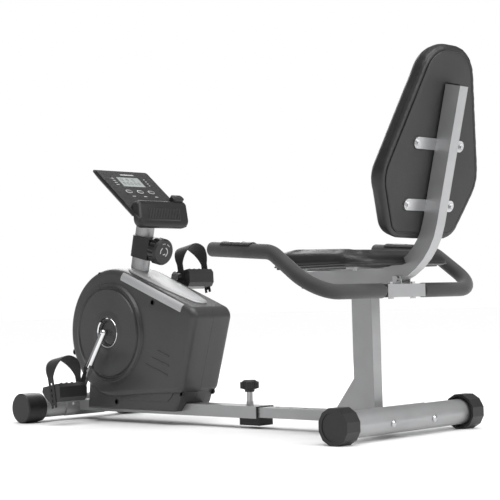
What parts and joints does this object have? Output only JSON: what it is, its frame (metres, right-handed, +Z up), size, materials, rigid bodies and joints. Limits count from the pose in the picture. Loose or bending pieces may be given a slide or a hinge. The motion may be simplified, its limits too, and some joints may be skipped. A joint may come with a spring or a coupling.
{
  "type": "recumbent exercise bike",
  "caption": "Recumbent exercise bike with a floor beam on round cross feet, plastic drive housing, leaning console mast and a sliding padded seat with backrest and foam handlebar.",
  "frame": {"origin": "on the floor, midway along the overall length, in the plane of symmetry", "axes": "+X to the rear (the rider faces -X), +Y to the rider's right, +Z up"},
  "size_m": [1.4143, 0.622, 0.883],
  "materials": {
    "silver_paint": "satin silver powder coat",
    "black_paint": "semi-matt black",
    "zinc": "bright zinc",
    "chrome": "polished chrome",
    "steel": "plain steel",
    "iron": "machined cast iron",
    "aluminium": "die-cast",
    "case_plastic": "fine-textured charcoal",
    "black_plastic": "satin black",
    "silver_plastic": "painted silver",
    "button_plastic": "grey",
    "display": "pale liquid-crystal window",
    "rubber": "matt",
    "foam": "soft foam",
    "vinyl": "grained black vinyl",
    "board": "plywood under a black back cover"
  },
  "bodies": {
    "front_frame": {"main_beam": "silver_paint", "slide_bushing": "black_plastic", "beam_foot": "rubber", "front_stabilizer_tube": "silver_paint", "front_bolts": "zinc", "front_end_plugs": "black_plastic", "upright_frame": "black_paint", "bearing_cups": "steel", "mast": "silver_paint", "tension_collar": "black_plastic", "tension_cable": "rubber", "housing_left": "case_plastic", "housing_right": "case_plastic", "top_cover": "silver_plastic", "crank_covers": "case_plastic", "hub_rings": "chrome", "housing_screws": "black_paint", "flywheel_bracket": "black_paint", "flywheel_axle": "steel", "drive_belt": "rubber", "idler_arm": "steel", "console_shell": "black_plastic", "console_face": "case_plastic", "lcd_lens": "display"},
    "crank": {"crank_arms": "chrome", "drive_pulley": "black_plastic", "pedal_axles": "steel"},
    "flywheel": {"flywheel": "iron"},
    "idler": {"idler_wheel": "black_plastic"},
    "magnets": {"magnet_bracket": "steel"},
    "pedal_left": {"pedal_left": "black_plastic", "strap_left": "rubber"},
    "pedal_right": {"pedal_right": "black_plastic", "strap_right": "rubber"},
    "tension_knob": {"tension_knob": "black_plastic"},
    "pull_pin": {"pull_knob": "black_plastic", "pull_pin": "zinc", "pin_spring": "steel"},
    "button_left": {"button_left": "button_plastic"},
    "button_middle": {"button_middle": "button_plastic"},
    "button_right": {"button_right": "button_plastic"},
    "wheel_left": {"transport_wheel_left": "black_plastic"},
    "wheel_right": {"transport_wheel_right": "black_plastic"},
    "seat_carriage": {"slide_tube": "silver_paint", "seat_post": "silver_paint", "rear_stabilizer_tube": "silver_paint", "seat_rail": "silver_paint", "rail_plugs": "black_plastic", "seat_brackets": "zinc", "seat_board": "board", "seat_cushion": "vinyl", "back_board": "board", "back_cushion": "vinyl", "handlebar_tube": "silver_paint", "foam_grips": "foam", "pulse_sensors": "chrome", "handlebar_clamp": "zinc", "seat_bolts": "zinc"},
    "cap_left": {"levelling_cap_left": "black_plastic"},
    "cap_right": {"levelling_cap_right": "black_plastic"}
  },
  "joints": [
    {"name": "flywheel_spin", "type": "hinge", "parent": "front_frame", "child": "flywheel", "pos_m": [-0.26616, 0, 0.186], "axis": [0, 1, 0], "continuous": true},
    {"name": "crank_spin", "type": "hinge", "parent": "front_frame", "child": "crank", "pos_m": [-0.44216, 0, 0.244], "axis": [0, 1, 0], "continuous": true},
    {"name": "idler_spin", "type": "hinge", "parent": "front_frame", "child": "idler", "pos_m": [-0.2918, 0, 0.25856], "axis": [0, 1, 0], "continuous": true},
    {"name": "pedal_left_spin", "type": "hinge", "parent": "crank", "child": "pedal_left", "pos_m": [-0.51189, -0.17, 0.09446], "axis": [0, 1, 0], "continuous": true},
    {"name": "pedal_right_spin", "type": "hinge", "parent": "crank", "child": "pedal_right", "pos_m": [-0.37243, 0.17, 0.39354], "axis": [0, 1, 0], "continuous": true},
    {"name": "tension_knob_turn", "type": "hinge", "parent": "front_frame", "child": "tension_knob", "pos_m": [-0.37847, 0, 0.47649], "axis": [0.9728, 0, -0.2317], "range_deg": [0, 315]},
    {"name": "magnet_swing", "type": "hinge", "parent": "front_frame", "child": "magnets", "pos_m": [-0.25414, 0, 0.30037], "axis": [0, -1, 0], "range_deg": [0, 10]},
    {"name": "pull_pin_lift", "type": "slide", "parent": "front_frame", "child": "pull_pin", "axis": [0, 0, 1], "range_m": [0, 0.01], "stiffness_N_per_m": 800, "deforming": ["pin_spring"]},
    {"name": "seat_slide", "type": "slide", "parent": "front_frame", "child": "seat_carriage", "axis": [1, 0, 0], "range_m": [-0.188, 0.047]},
    {"name": "button_left_press", "type": "slide", "parent": "front_frame", "child": "button_left", "axis": [-0.6293, 0, -0.7771], "range_m": [0, 0.0015], "stiffness_N_per_m": 300},
    {"name": "button_middle_press", "type": "slide", "parent": "front_frame", "child": "button_middle", "axis": [-0.6293, 0, -0.7771], "range_m": [0, 0.0015], "stiffness_N_per_m": 300},
    {"name": "button_right_press", "type": "slide", "parent": "front_frame", "child": "button_right", "axis": [-0.6293, 0, -0.7771], "range_m": [0, 0.0015], "stiffness_N_per_m": 300},
    {"name": "wheel_left_spin", "type": "hinge", "parent": "front_frame", "child": "wheel_left", "pos_m": [-0.66616, -0.185, 0.041], "axis": [0, 1, 0], "continuous": true},
    {"name": "wheel_right_spin", "type": "hinge", "parent": "front_frame", "child": "wheel_right", "pos_m": [-0.66616, 0.185, 0.041], "axis": [0, 1, 0], "continuous": true},
    {"name": "cap_left_turn", "type": "hinge", "parent": "seat_carriage", "child": "cap_left", "pos_m": [0.50884, -0.228, 0.041], "axis": [0, 1, 0], "range_deg": [-90, 90]},
    {"name": "cap_right_turn", "type": "hinge", "parent": "seat_carriage", "child": "cap_right", "pos_m": [0.50884, 0.228, 0.041], "axis": [0, 1, 0], "range_deg": [-90, 90]}
  ],
  "couplings": [
    {"joint": "crank_spin", "follows": "flywheel_spin", "ratio": 0.22222},
    {"joint": "idler_spin", "follows": "flywheel_spin", "ratio": -1.5533},
    {"joint": "magnet_swing", "follows": "tension_knob_turn", "ratio": 0.031746}
  ]
}
